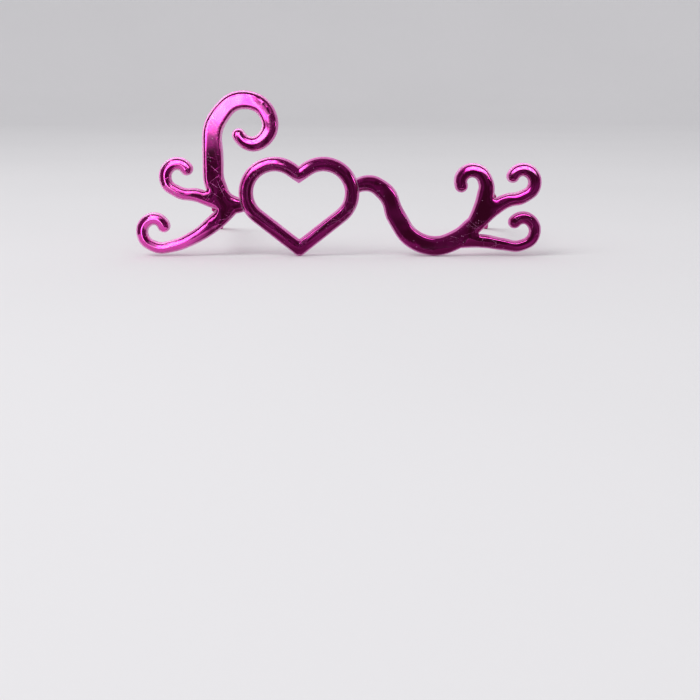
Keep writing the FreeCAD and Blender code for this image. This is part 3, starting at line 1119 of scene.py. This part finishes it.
@dataclass(frozen=True)
class Card:
    """A card in front of the glasses that shows only in their gloss."""

    name: str
    middle: Point
    width: float
    height: float
    glow: Glow
    tilt: float = 90.0
    swing: float = 0.0
    soft: float = 0.018
    rag: Noise = Noise(5.0, 1.0)
    rag_reach: float = 0.08
    mottle: Noise = Noise(4.0, 2.0, (0.40, 0.66))
    mottle_stretch: Point = (3.0, 1.0, 1.0)

    def material(self) -> bpy.types.Material:
        """The mottled card, faded out towards its ragged sides.

        Returns:
            The material.
        """
        graph = Graph(self.name)
        flat = graph.place()
        spot = graph.node("ShaderNodeVectorMath", {"operation": "ABSOLUTE"}, {0: flat})
        ragged = graph.noise(flat, self.rag) * self.rag_reach - self.rag_reach / 2
        rim = 0.5
        fade: Value = 1.0
        for axis, span in (("X", self.width), ("Y", self.height)):
            off = graph.node("ShaderNodeSeparateXYZ", {}, {0: spot}, output=axis)
            fade = fade * (rim - off + ragged).over(0.0, min(rim, self.soft / span))
        mottle = graph.noise(graph.place(self.mottle_stretch), self.mottle)
        return graph.surface({
            "Base Color": (0.0, 0.0, 0.0, 1.0),
            "Roughness": MATT,
            "Specular IOR Level": 0.0,
            "Alpha": fade,
            "Emission Color": graph.blend(*self.glow.value, mottle),
            "Emission Strength": 1.0,
        })

    def build(self) -> None:
        """Stands the card on the stage."""
        Bench.clear()
        bpy.ops.mesh.primitive_plane_add(
            size=1.0,
            location=self.middle,
            rotation=(math.radians(self.tilt), 0.0, math.radians(self.swing)),
        )
        card = bpy.context.object
        card.name = self.name
        card.scale = (self.width, self.height, 1.0)
        dress(card, self.material())
        card.visible_camera = False
        card.visible_diffuse = False
        card.visible_shadow = False
        card.visible_transmission = False


@dataclass
class Studio:
    """The floor, the cards, the soft light and the camera."""

    floor_radius: float = 2.4
    floor_sides: int = 96
    floor_tint: Colour = (0.82, 0.81, 0.82)
    floor_shade: float = 0.985
    floor_mottle: Noise = Noise(3.0, 2.0, (0.3, 0.7))
    cove_radius: float = 1.2
    cove_steps: int = 12
    smooth_angle: float = 40.0
    sky: Colour = (0.80, 0.80, 0.82)
    sky_strength: float = 0.85
    lamp_spot: Point = (-0.9, -0.8, 1.5)
    lamp_target: Point = (0.0, 0.0, 0.03)
    lamp_size: float = 1.1
    lamp_power: float = 14.0
    camera_spot: Point = (0.0054, -0.7116, 0.0786)
    camera_tilt: float = 79.2
    camera_angle: float = 28.39
    camera_near: float = 0.01
    cards: tuple[Card, ...] = (
        Card("dark_card", (0.103, -0.105, 0.035), 0.29, 0.125, Glow.DARK, soft=0.022),
        Card("stem_card", (-0.056, -0.104, 0.000), 0.076, 0.130, Glow.DARK, soft=0.022),
        Card("low_flag", (0.090, -0.066, 0.001), 0.32, 0.090, Glow.DUSK, tilt=0.0),
        Card("top_flag", (0.060, -0.110, 0.135), 0.40, 0.18, Glow.DUSK, tilt=0.0),
        Card("left_flag", (-0.140, -0.100, 0.060), 0.20, 0.16, Glow.DUSK, swing=90.0),
        Card("right_flag", (0.165, -0.100, 0.060), 0.20, 0.16, Glow.DUSK, swing=90.0),
        Card("left_card", (-0.135, -0.165, 0.045), 0.13, 0.17, Glow.BRIGHT, soft=0.022),
        Card("top_card", (-0.065, -0.165, 0.110), 0.15, 0.13, Glow.BRIGHT, soft=0.030),
        Card("right_card", (0.090, -0.099, 0.060), 0.08, 0.030, Glow.BRIGHT, soft=0.010),
    )

    def build(self) -> None:
        """Sets the stage."""
        self._floor()
        self._world()
        for card in self.cards:
            card.build()
        self._lamp()
        self._camera()
        bpy.context.scene.view_settings.view_transform = "Standard"

    def _floor(self) -> None:
        """Lays the pale floor and sweeps its rim up into a cove."""
        Bench.clear()
        bpy.ops.mesh.primitive_circle_add(
            vertices=self.floor_sides, radius=self.floor_radius, fill_type="NGON"
        )
        floor = bpy.context.object
        floor.name = "floor"
        bpy.ops.object.mode_set(mode="EDIT")
        bpy.ops.mesh.select_mode(type="EDGE")
        bpy.ops.mesh.select_all(action="DESELECT")
        bpy.ops.mesh.select_non_manifold()
        reach, rise = self.floor_radius, 0.0
        for step in range(1, self.cove_steps + 1):
            angle = math.pi / 2 * step / self.cove_steps
            wide = self.floor_radius + self.cove_radius * math.sin(angle)
            high = self.cove_radius * (1.0 - math.cos(angle))
            bpy.ops.mesh.extrude_edges_move(
                TRANSFORM_OT_translate={"value": (0.0, 0.0, high - rise)}
            )
            bpy.ops.transform.resize(
                value=(wide / reach, wide / reach, 1.0), center_override=(0.0, 0.0, high)
            )
            reach, rise = wide, high
        Bench.smooth(floor, self.smooth_angle)
        graph = Graph("pale_floor")
        mottle = graph.noise(graph.place(), self.floor_mottle)
        shade = tuple(part * self.floor_shade for part in self.floor_tint)
        dress(floor, graph.surface({
            "Base Color": graph.blend(self.floor_tint, shade, mottle),
            "Roughness": MATT,
            "Specular IOR Level": 0.0,
        }))

    def _world(self) -> None:
        """Fills the room with even light."""
        world = bpy.data.worlds.new("studio_room")
        bpy.context.scene.world = world
        world.use_nodes = True
        sky = world.node_tree.nodes["Background"]
        sky.inputs["Color"].default_value = (*self.sky, 1.0)
        sky.inputs["Strength"].default_value = self.sky_strength

    def _lamp(self) -> None:
        """Hangs the square softbox."""
        Bench.clear()
        bpy.ops.object.light_add(type="AREA", location=self.lamp_spot)
        lamp = bpy.context.object
        lamp.name = "key_softbox"
        lamp.data.shape = "SQUARE"
        lamp.data.size = self.lamp_size
        lamp.data.energy = self.lamp_power
        aim = Vector(self.lamp_target) - Vector(self.lamp_spot)
        lamp.rotation_euler = aim.to_track_quat("-Z", "Y").to_euler()
        lamp.visible_camera = False

    def _camera(self) -> None:
        """Stands the camera where the picture was taken from."""
        Bench.clear()
        bpy.ops.object.camera_add(
            location=self.camera_spot, rotation=(math.radians(self.camera_tilt), 0.0, 0.0)
        )
        camera = bpy.context.object
        camera.data.sensor_fit = "HORIZONTAL"
        camera.data.angle = math.radians(self.camera_angle)
        camera.data.clip_start = self.camera_near
        bpy.context.scene.camera = camera


def main() -> None:
    """Builds the glasses and the studio."""
    logging.basicConfig(level=logging.INFO, format="%(name)s: %(message)s")
    Front().build()
    plastic = MouldedPlastic().material()
    steel = TurnedSteel().material()
    for side in Side:
        Arm(side).build(plastic, steel)
    Studio().build()


if __name__ == "__main__":
    main()
